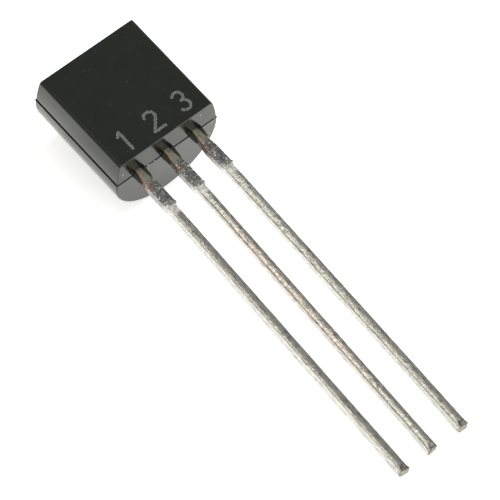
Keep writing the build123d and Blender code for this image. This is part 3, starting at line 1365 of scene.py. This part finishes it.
@dataclass
class Lead:
    """A plated lead: frame inside the body, tapered neck, cut shoulder, long shank and cut tip."""

    name: str
    node: str
    x: float
    sway: float
    drop: float
    twist: Pair
    length: float
    cut: TipCut
    edge_round: float
    inner_x: Pair
    inner_y: Pair
    seed: int
    shank_width: float = 0.382
    offset: float = 0.0
    crown: float = 0.034
    thickness: float = 0.38
    stem_width: float = 0.44
    stem_start: float = 0.26
    neck_width: float = 0.25
    neck_length: float = 0.92
    neck_shares: tuple[float, ...] = (0.25, 0.5, 0.75, 0.95)
    neck_run_out: float = 1.12
    shoulder_width: float = 0.46
    shoulder_start: float = 1.76
    shoulder_end: float = 1.82
    cut_run: float = 0.05
    cut_spread: float = 0.02
    cut_thinned: Pair = (0.97, 0.92)
    cut_rough: float = 0.02
    cut_reach: float = 0.02
    burr: float = 0.035
    burr_reach: float = 0.03
    shank_thickness: float = 0.366
    bend_start: float = 1.98
    bend_narrowed: float = 0.01
    bend_thinned: float = 0.97
    step: float = 0.5
    width_spread: Pair = (-0.008, 0.006)
    thick_spread: Pair = (-0.008, 0.002)
    tip_steps: tuple[Pair, ...] = ((0.35, 0.0), (0.65, 0.4), (0.92, 1.0))
    tip_broken: Pair = (0.90, 0.86)
    tip_reach: float = 0.05
    tip_crease: float = 0.2
    dent_reach: float = 0.3
    lip_reach: float = 0.03
    lip_drawn: float = 0.01
    divisions: tuple[tuple[float, int], ...] = ((0.4, 2), (0.13, 1))
    past_end: float = 0.1
    stamped_from: float = 0.2
    stamped_round: float = 0.05
    round_segments: int = 3
    corner_along: float = 0.3
    corner_angle: float = 50.0
    smooth_levels: int = 2
    lump_size: float = 0.09
    lump_depth: int = 3
    lump_rise: float = 0.026
    shank_lumps: float = 0.32
    stamped_lumps: float = 0.25
    lumps_past_cut: float = 0.03
    lumps_before_cut: float = 0.07
    shade_angle: float = 50.0
    _width: float = field(default=0.0, init=False)
    _thick: float = field(default=0.0, init=False)
    _centre: Vector = field(default_factory=Vector, init=False)

    def build(self) -> Piece:
        """Models the lead.

        Returns:
            The lead in package millimetres.
        """
        work = self._frame_inside()
        self._stamped_part(work)
        self._shank(work)
        self._tip(work)
        self._crown(work)
        self._cut_marks(work)
        self._burr(work)
        self._divide(work)
        self._mark_edges(work)
        self._weigh_lumps(work)
        lead = work.close()
        apply_modifier(lead, "BEVEL", limit_method="WEIGHT", width=self.edge_round,
                       segments=self.round_segments, use_clamp_overlap=False)
        apply_modifier(lead, "SUBSURF", levels=self.smooth_levels, render_levels=self.smooth_levels)
        lumps = bpy.data.textures.new(f"{self.name}_lumps", "CLOUDS")
        lumps.noise_scale = self.lump_size
        lumps.noise_depth = self.lump_depth
        apply_modifier(lead, "DISPLACE", texture=lumps, texture_coords="LOCAL",
                       strength=self.lump_rise, vertex_group=lead.vertex_groups[0].name)
        lead.vertex_groups.clear()
        return lead

    def dress(self, lead: Piece, axes: PackageAxes, finish: Finish) -> None:
        """Smooths the lead, places it and gives it its finish."""
        shade(lead, self.shade_angle, weighted=False)
        install(lead, axes, finish, Slot.PLATING, self.node)

    def _frame_inside(self) -> Workpiece:
        """The post or flag inside the body, widened from the stem's width.

        Returns:
            The frame in edit mode, with the end face that the stem leaves selected.
        """
        half, rise = self.stem_width / 2, self.thickness / 2
        (left, right), (start, end) = self.inner_x, self.inner_y
        work = add_block(self.name, (self.x - half, start, -rise), (self.x + half, end, rise))
        for side, reach in ((-1, self.x - half - left), (1, right - self.x - half)):
            work.pick_facing((side, 0, 0))
            work.extrude((side * reach, 0, 0))
        self._width, self._thick = self.stem_width, self.thickness
        self._centre = Vector((self.x, start, 0))
        work.pick(Pick.FACES, lambda face: face.normal.y < -FACING
                  and abs(face.calc_center_median().x - self.x) < half)
        return work

    def _go(self, work: Workpiece, to: Vector, width: float, thick: float) -> None:
        """Extrudes the end face to a new middle and size.

        Args:
            work: The lead, with its end face selected.
            to: The new middle of the end face.
            width: Its new width.
            thick: Its new thickness.
        """
        work.extrude(tuple(to - self._centre))
        work.resize((width / self._width, 1, thick / self._thick), tuple(to))
        self._centre, self._width, self._thick = to, width, thick

    def _stamped_part(self, work: Workpiece) -> None:
        """Stem, neck and shoulder, which were stamped from sheet, and the groove past the cut.

        Args:
            work: The lead in edit mode.
        """
        full, spread = self.thickness, self.cut_spread
        stations = [
            (self.stem_start, self.stem_width, full),
            (self.stem_start / 2, self.neck_width, full),
            (0.0, self.neck_width, full),
        ]
        for share in self.neck_shares:
            wide = self.neck_width + (self.shoulder_width - self.neck_width) * share
            stations.append((-self.neck_length * share, wide, full))
        stations += [
            (-self.neck_length * self.neck_run_out, self.shoulder_width, full),
            (-(self.shoulder_start - self.cut_run), self.shoulder_width, full),
            (-self.shoulder_start, self.shoulder_width + spread, full),
            (-self.shoulder_end, self.shank_width + spread, full * self.cut_thinned[0]),
            (-self.shoulder_end - self.cut_run, self.shank_width - spread,
             full * self.cut_thinned[1]),
        ]
        for y, width, thick in stations:
            self._go(work, Vector((self.x, y, 0)), width, thick)

    def _middle(self, y: float) -> Vector:
        """The middle of the bar at a place along it.

        Args:
            y: The place.

        Returns:
            The middle there.
        """
        share = max(0.0, (-self.bend_start - y) / (self.length - self.bend_start))
        shift = self.offset if y < -self.shoulder_end - NEAR else 0.0
        return Vector((self.x + shift + self.sway * share, y, -self.drop * share))

    def _shank(self, work: Workpiece) -> None:
        """The long bar, bent down a little past the shoulder, twisted and uneven.

        Args:
            work: The lead in edit mode.
        """
        dice = Random(self.seed)
        start, end = self._middle(-self.bend_start), self._middle(-self.length)
        lean = math.atan2(self.drop, self.length - self.bend_start)
        count = int((end - start).length / self.step)
        first, last = (math.radians(angle) for angle in self.twist)
        self._go(work, start, self.shank_width - self.bend_narrowed,
                 self.shank_thickness * self.bend_thinned)
        work.turn(lean, "X", tuple(start))
        work.turn(first, "Y", tuple(start))
        for number in range(1, count):
            wide = self.shank_width + dice.uniform(*self.width_spread)
            thick = self.shank_thickness + dice.uniform(*self.thick_spread)
            self._go(work, start.lerp(end, number / count), wide, thick)
            work.turn((last - first) / (count - 1), "Y", tuple(self._centre))

    def _tip(self, work: Workpiece) -> None:
        """The cut end: pinched, flared sideways and cut off at a slant, with a broken edge.

        Args:
            work: The lead in edit mode.
        """
        shape = self.cut.value
        start, end = self._centre.copy(), self._middle(-self.length)
        wide, thick = self._width, self._thick
        for share, grown in self.tip_steps:
            self._go(work, start.lerp(end, share), wide * (1 + (shape.flare - 1) * grown),
                     thick * (1 + (shape.pinch - 1) * grown))
        broken_wide, broken_thick = self.tip_broken
        self._go(work, end, wide * shape.flare * broken_wide, thick * shape.pinch * broken_thick)
        work.turn(math.radians(shape.slant), "Z", tuple(end))
        work.turn(math.radians(shape.lean), "X", tuple(end))

    def _crown(self, work: Workpiece) -> None:
        """Raises the middle of the shank's top, as on drawn bar.

        Args:
            work: The lead in edit mode.
        """
        past = -self.shoulder_end - NEAR
        work.pick(Pick.EDGES, lambda edge: edge_middle(edge).y < past and self._crosses(edge))
        bpy.ops.mesh.subdivide(number_cuts=1)
        work.pick(Pick.VERTS, lambda vert: vert.co.y < past and self._is_ridge(vert.co))
        bpy.ops.transform.translate(value=(0, 0, self.crown))

    def _cut_marks(self, work: Workpiece) -> None:
        """Dents the top behind the tip and draws out one corner of the cut, as a cutter does.

        Args:
            work: The lead in edit mode.
        """
        shape, end = self.cut.value, -self.length
        dented = end + self.dent_reach
        work.pick(Pick.VERTS, lambda vert: vert.co.y < dented and self._is_ridge(vert.co))
        bpy.ops.transform.translate(value=(0, 0, -shape.dent))
        side = math.copysign(1.0, shape.lip)
        work.pick(Pick.VERTS, lambda vert: vert.co.y < end + self.lip_reach
                  and (vert.co.x - self._middle(vert.co.y).x) * side > self.shank_width / 4)
        bpy.ops.transform.translate(value=(shape.lip, -self.lip_drawn, 0))

    def _burr(self, work: Workpiece) -> None:
        """Makes the cut end of the shoulder ragged and turns its right corner out.

        Args:
            work: The lead in edit mode.
        """
        cut, right = -self.shoulder_start, self.x + self.shank_width / 2
        work.pick(Pick.VERTS, lambda vert: abs(vert.co.y - cut) < self.cut_reach)
        work.roughen(self.cut_rough, self.seed)
        work.pick(Pick.VERTS, lambda vert: abs(vert.co.y - cut) < self.burr_reach
                  and vert.co.x > right and vert.co.z > 0)
        bpy.ops.transform.translate(value=(self.burr, -self.burr, self.burr / 2))

    def _divide(self, work: Workpiece) -> None:
        """Divides the long edges outside the body, so that the plating can be lumpy.

        Args:
            work: The lead in edit mode.
        """
        for longest, cuts in self.divisions:
            work.pick(Pick.EDGES, lambda edge: self._runs_along(edge)
                      and edge_middle(edge).y < -NEAR and edge.calc_length() > longest)
            bpy.ops.mesh.subdivide(number_cuts=cuts)

    def _mark_edges(self, work: Workpiece) -> None:
        """Weights the long edges for rounding and creases the frame and the tip.

        Args:
            work: The lead in edit mode.
        """
        past, end = -self.shoulder_end - NEAR, -self.length
        stamped = min(1.0, self.stamped_round / self.edge_round)
        for low, high, weight in ((past, self.stamped_from, stamped),
                                  (end - self.past_end, past, 1.0)):
            work.pick(Pick.EDGES, lambda edge: self._is_corner(edge)
                      and low < edge_middle(edge).y <= high)
            bpy.ops.transform.edge_bevelweight(value=weight)
        inside = self.stem_start - NEAR
        work.pick(Pick.EDGES, lambda edge: all(vert.co.y > inside for vert in edge.verts))
        bpy.ops.transform.edge_crease(value=1.0)
        at_tip = end + self.tip_reach
        work.pick(Pick.EDGES, lambda edge: all(vert.co.y < at_tip for vert in edge.verts))
        bpy.ops.transform.edge_crease(value=self.tip_crease)

    def _weigh_lumps(self, work: Workpiece) -> None:
        """Makes the vertex group that lets the plating be lumpy at the cut and smoother elsewhere.

        Args:
            work: The lead in edit mode.
        """
        settings = bpy.context.scene.tool_settings
        past = -self.shoulder_end - self.lumps_past_cut
        before = -self.shoulder_start + self.lumps_before_cut
        for weight, low, high in ((self.shank_lumps, -self.length - self.past_end, past),
                                  (1.0, past, before),
                                  (self.stamped_lumps, before, self.inner_y[1] + NEAR)):
            settings.vertex_group_weight = weight
            work.pick(Pick.VERTS, lambda vert: low <= vert.co.y < high)
            if work.obj.vertex_groups:
                bpy.ops.object.vertex_group_assign()
            else:
                bpy.ops.object.vertex_group_assign_new()

    def _is_ridge(self, place: Vector) -> bool:
        """Whether a place is in the middle of the bar's top."""
        aside = place - self._middle(place.y)
        return aside.z > 0 and abs(aside.x) < self.shank_width / 4

    @staticmethod
    def _runs_along(edge: Edge) -> bool:
        """Whether an edge runs along the lead."""
        run = edge_run(edge)
        return abs(run.y) > MOSTLY * run.length

    @staticmethod
    def _crosses(edge: Edge) -> bool:
        """Whether an edge runs across the lead's top or underside."""
        run = edge_run(edge)
        return abs(run.x) > MOSTLY * run.length

    def _is_corner(self, edge: Edge) -> bool:
        """Whether an edge is a long corner of the bar.

        Args:
            edge: The edge.

        Returns:
            True if it is.
        """
        run = edge_run(edge)
        long = abs(run.y) > self.corner_along * run.length
        return long and edge.calc_face_angle(0.0) > math.radians(self.corner_angle)


@dataclass
class PinNumbers:
    """The numbers of the leads, burnt into the flat as rows of overlapping laser spots."""

    flat_height: float = 1.046
    lead_pitch: float = 1.27
    base_y: float = 0.42
    height: float = 0.80
    spot: float = 0.115
    spot_sides: int = 10
    spot_steps: Pair = (0.86, 0.5)
    spot_pitch: float = 0.048
    scatter: float = 0.011
    sunk: float = 0.006
    rise: float = 0.005
    arc_step: float = 14.0
    shade_angle: float = 40.0
    seed: int = 5

    def build(self) -> list[Piece]:
        """Models the three numbers.

        Returns:
            The numbers in package millimetres, in the order of the leads.
        """
        dice = Random(self.seed)
        master = self._spot()
        made = []
        for number, strokes in enumerate((self._one(), self._two(), self._three())):
            middle = (number - 1) * self.lead_pitch
            spots = []
            for across, up in (place for stroke in strokes for place in self._spaced(stroke)):
                spots.append(self._copy(master, (
                    middle + across * self.height + dice.uniform(-self.scatter, self.scatter),
                    self.base_y + up * self.height + dice.uniform(-self.scatter, self.scatter),
                    self.flat_height + dice.uniform(0.0, self.rise / 2))))
            made.append(self._joined(spots, f"pin_number_{number + 1}"))
        bpy.data.objects.remove(master)
        return made

    def dress(self, numbers: list[Piece], axes: PackageAxes, finish: Finish) -> None:
        """Smooths the numbers, places them and gives them their finish.

        Args:
            numbers: The numbers.
            axes: The package's axes.
            finish: What they wear.
        """
        for number in numbers:
            shade(number, self.shade_angle, weighted=False)
            install(number, axes, finish, Slot.RESIN)

    def _spot(self) -> Piece:
        """One laser spot: a low raised dot, sunk a little into the flat.

        Returns:
            The spot at the origin.
        """
        clear_selection()
        step = self.rise / 3
        bpy.ops.mesh.primitive_cylinder_add(vertices=self.spot_sides, radius=self.spot / 2,
                                            depth=self.sunk, location=(0, 0, -self.sunk / 2 + step))
        work = Workpiece("laser_spot")
        work.pick_facing((0, 0, 1))
        for share in self.spot_steps:
            work.extrude((0, 0, step))
            work.resize((share, share, 1), (0, 0, 0))
        return work.close()

    @staticmethod
    def _copy(master: Piece, place: Triple) -> Piece:
        """A copy of the spot with its own mesh.

        Args:
            master: The spot.
            place: Where the copy goes.

        Returns:
            The copy.
        """
        select_only(master)
        bpy.ops.object.duplicate(linked=False)
        spot = bpy.context.active_object
        spot.location = place
        return spot

    @staticmethod
    def _joined(spots: list[Piece], name: str) -> Piece:
        """Joins the spots of a number.

        Args:
            spots: The spots.
            name: The number's name.

        Returns:
            The number as one piece.
        """
        select_only(spots[0])
        for spot in spots:
            spot.select_set(True)
        bpy.ops.object.join()
        spots[0].name = spots[0].data.name = name
        bpy.ops.object.transform_apply(location=True, rotation=True, scale=True)
        return spots[0]

    def _spaced(self, stroke: Stroke) -> Stroke:
        """Even places along a stroke.

        Args:
            stroke: Its corners, as shares of the number's height.

        Returns:
            The places of its spots.
        """
        pitch = self.spot_pitch / self.height
        places = [stroke[0]]
        for first, last in zip(stroke, stroke[1:]):
            count = max(1, round(math.dist(first, last) / pitch))
            places += [(first[0] + (last[0] - first[0]) * step / count,
                        first[1] + (last[1] - first[1]) * step / count)
                       for step in range(1, count + 1)]
        return places

    def _arc(self, middle: Pair, radius: float, start: float, end: float) -> Stroke:
        """Points on an arc.

        Args:
            middle: Its centre.
            radius: Its radius.
            start: Where it starts, in degrees.
            end: Where it ends, in degrees.

        Returns:
            The points.
        """
        steps = max(2, int(abs(end - start) / self.arc_step))
        angles = [math.radians(start + (end - start) * step / steps) for step in range(steps + 1)]
        return [(middle[0] + radius * math.cos(angle), middle[1] + radius * math.sin(angle))
                for angle in angles]

    @staticmethod
    def _one() -> list[Stroke]:
        """The strokes of a 1."""
        return [[(-0.14, 0.80), (0.05, 1.0), (0.05, 0.0)]]

    def _two(self) -> list[Stroke]:
        """The strokes of a 2."""
        bow = self._arc((0.0, 0.74), 0.26, 165.0, -35.0)
        return [[*bow, (-0.28, 0.0), (0.28, 0.0)]]

    def _three(self) -> list[Stroke]:
        """The strokes of a 3."""
        return [self._arc((0.0, 0.76), 0.24, 150.0, -90.0),
                self._arc((0.0, 0.26), 0.26, 90.0, -150.0)]


@dataclass
class SealedParts:
    """The die, its attach layer and the bond wires, which stay as the CAD made them."""

    die: str = "silicon_die"
    attach: str = "die_attach"
    wires: tuple[str, ...] = ("reset_bond_wire", "input_bond_wire", "ground_bond_wire")

    def dress(self, groups: Groups) -> None:
        """Gives each of them its finish.

        Args:
            groups: The shared node groups.
        """
        worn = {self.die: SiliconFinish().make(groups), self.attach: AttachFinish().make(groups)}
        worn |= dict.fromkeys(self.wires, GoldFinish().make(groups))
        for node, finish in worn.items():
            finish.wear(frame["nodes"][node])
            log.info("%s: kept from the frame, %s", node, finish.material.name)


@dataclass
class Lamp:
    """A square soft light."""

    name: str
    place: Triple
    size: float
    power: float
    colour: Triple
    mirrored: bool

    def build(self, target: Vector) -> None:
        """Makes the light and aims it at a point.

        Args:
            target: The point.
        """
        data = bpy.data.lights.new(self.name, "AREA")
        data.shape, data.size = "SQUARE", self.size
        data.energy, data.color = self.power, self.colour
        lamp = bpy.data.objects.new(self.name, data)
        bpy.context.scene.collection.objects.link(lamp)
        lamp.location = self.place
        lamp.visible_glossy = self.mirrored
        lamp.rotation_euler = (target - lamp.location).to_track_quat("-Z", "Y").to_euler()


@dataclass
class Studio:
    """Floor, soft light and the camera."""

    sheet_size: float = 2.4
    sheet_tones: Pair = (0.88, 0.92)
    sheet_rough: float = 0.45
    sheet_glow: float = 0.64
    fibre_scale: float = 900.0
    fibre_detail: float = 3.0
    fade_towards: Triple = (0.93, 0.37, 0.0)
    fade: Span = Span(0.008, 0.050)
    fade_left: float = 0.45
    sky_tone: Triple = (0.285, 0.285, 0.278)
    overhead_tone: Triple = (1.66, 1.62, 1.475)
    overhead_middle: Triple = (-0.17, -0.15, 0.974)
    overhead_inner: float = 18.0
    overhead_outer: float = 30.0
    glow_tone: Triple = (0.95, 0.95, 0.94)
    glow_towards: Triple = (-0.94, 0.34, 0.0)
    glow_side: Span = Span(0.5, 0.9)
    glow_height: Span = Span(0.52, 0.0)
    camera_place: Triple = (-44.700, -50.705, 115.700)
    camera_forward: Triple = (0.33609, 0.34758, -0.87535)
    camera_up: Triple = (0.55113, 0.68109, 0.48205)
    camera_clip: Pair = (0.005, 10.0)
    lens: float = 278.24
    lamps_at: Triple = (0.0, 0.0, 0.001)
    lamps: list[Lamp] = field(default_factory=lambda: [
        Lamp("key_from_right", (0.30, 0.02, 0.20), 0.16, 0.75, (1.0, 0.98, 0.95), False),
        Lamp("front_fill", (0.11, -0.33, 0.15), 0.22, 0.4, (1.0, 0.99, 0.97), True),
    ])

    def build(self, axes: PackageAxes) -> None:
        """Makes the scene round the object, with the camera placed in the package's axes.

        Args:
            axes: The package's axes.
        """
        self._floor()
        self._sky()
        self._camera(axes)
        for lamp in self.lamps:
            lamp.build(Vector(self.lamps_at))
        bpy.context.scene.view_settings.view_transform = "Standard"

    def _floor(self) -> None:
        """A plain white sheet that glows a little, as an overexposed one looks; its glow is painted
        light that fades towards the right and back.
        """
        clear_selection()
        bpy.ops.mesh.primitive_plane_add(size=self.sheet_size)
        floor = bpy.context.active_object
        floor.name = "white_sheet"
        material = bpy.data.materials.new("white_sheet")
        material.use_nodes = True
        tree = material.node_tree
        link = tree.links.new
        shader = tree.nodes["Principled BSDF"]
        place = add_node(tree, "ShaderNodeTexCoord").outputs["Object"]
        fibre = add_node(tree, "ShaderNodeTexNoise",
                         {"Scale": self.fibre_scale, "Detail": self.fibre_detail})
        dark, light = self.sheet_tones
        tone = add_node(tree, "ShaderNodeMapRange", {"To Min": dark, "To Max": light})
        link(place, fibre.inputs["Vector"])
        link(fibre.outputs["Fac"], tone.inputs["Value"])
        link(tone.outputs["Result"], shader.inputs["Base Color"])
        shader.inputs["Roughness"].default_value = self.sheet_rough
        # Painted light: the glow is full round the chip and to its left and front, and falls to
        # under half towards the right and back, as a softbox's light falls off
        away = add_reach(tree, place, self.fade_towards)
        glow = add_ramp(tree, away, self.fade, (1.0, self.fade_left))
        link(glow, shader.inputs["Emission Color"])
        shader.inputs["Emission Strength"].default_value = self.sheet_glow
        floor.data.materials.append(material)

    def _sky(self) -> None:
        """A dim surround with a soft light overhead and a low glow on the left, as from a wall."""
        world = bpy.data.worlds.new("studio")
        bpy.context.scene.world = world
        world.use_nodes = True
        tree = world.node_tree
        link = tree.links.new
        direction = add_node(tree, "ShaderNodeTexCoord").outputs["Generated"]
        outer, inner = (math.cos(math.radians(angle))
                        for angle in (self.overhead_outer, self.overhead_inner))
        tone = add_node(tree, "ShaderNodeMix",
                        {6: (*self.sky_tone, 1.0), 7: (*self.overhead_tone, 1.0)}, data_type="RGBA")
        aside = add_reach(tree, direction, self.overhead_middle)
        link(add_ramp(tree, aside, Span(outer, inner)), tone.inputs["Factor"])
        split = add_node(tree, "ShaderNodeSeparateXYZ")
        wall = add_node(tree, "ShaderNodeMath", operation="MULTIPLY")
        lit = add_node(tree, "ShaderNodeMix", {7: (*self.glow_tone, 1.0)}, data_type="RGBA")
        beside = add_reach(tree, direction, self.glow_towards)
        link(direction, split.inputs[0])
        link(add_ramp(tree, beside, self.glow_side), wall.inputs[0])
        link(add_ramp(tree, split.outputs["Z"], self.glow_height), wall.inputs[1])
        link(wall.outputs[0], lit.inputs["Factor"])
        link(tone.outputs[2], lit.inputs[6])
        link(lit.outputs[2], tree.nodes["Background"].inputs["Color"])

    def _camera(self, axes: PackageAxes) -> None:
        """The camera at the photograph's viewing angle, given in the package's axes.

        Args:
            axes: The package's axes.
        """
        data = bpy.data.cameras.new("camera")
        data.lens = self.lens
        data.clip_start, data.clip_end = self.camera_clip
        camera = bpy.data.objects.new("camera", data)
        bpy.context.scene.collection.objects.link(camera)
        back = -Vector(self.camera_forward).normalized()
        right = Vector(self.camera_up).cross(back).normalized()
        turned = Matrix((right, back.cross(right), back)).transposed().to_4x4()
        place = Matrix.Translation(axes.matrix() @ Vector(self.camera_place))
        camera.matrix_world = place @ axes.turn() @ turned
        bpy.context.scene.camera = camera


def build_leads() -> list[Lead]:
    """The three leads, left to right with the flat up and the leads towards the viewer.

    Returns:
        The leads.
    """
    return [
        Lead("plated_lead_1", "reset_lead", x=-1.305, sway=-0.055, drop=0.93, twist=(9.0, 13.0),
             length=14.168, cut=TipCut.FLARED, edge_round=0.065, inner_x=(-1.75, -0.79),
             inner_y=(1.35, 2.35), seed=21, shank_width=0.358, offset=-0.024, crown=0.02),
        Lead("plated_lead_2", "input_lead", x=-0.035, sway=-0.05, drop=0.951, twist=(-3.0, 5.0),
             length=14.145, cut=TipCut.SHEARED, edge_round=0.09, inner_x=(-0.46, 0.46),
             inner_y=(0.62, 1.22), seed=22),
        Lead("plated_lead_3", "ground_lead", x=1.235, sway=0.03, drop=0.948, twist=(-4.0, 8.0),
             length=14.168, cut=TipCut.BLUNT, edge_round=0.06, inner_x=(-0.46, 1.62),
             inner_y=(1.72, 3.62), seed=23),
    ]


def main() -> None:
    """Builds and dresses the chip's pieces in order, then the studio."""
    logging.basicConfig(level=logging.INFO, format="%(name)s: %(message)s")
    axes = PackageAxes.from_record(frame["record"], ROW_DISTANCE)
    groups = Groups(axes)
    resin, plating = ResinFinish().make(groups), PlatingFinish().make(groups)

    body = MouldedBody()
    body.dress(body.build(), axes, resin)
    for lead in build_leads():
        lead.dress(lead.build(), axes, plating)
    numbers = PinNumbers()
    numbers.dress(numbers.build(), axes, MarkFinish().make(groups))
    SealedParts().dress(groups)

    Studio().build(axes)


if __name__ == "__main__":
    main()
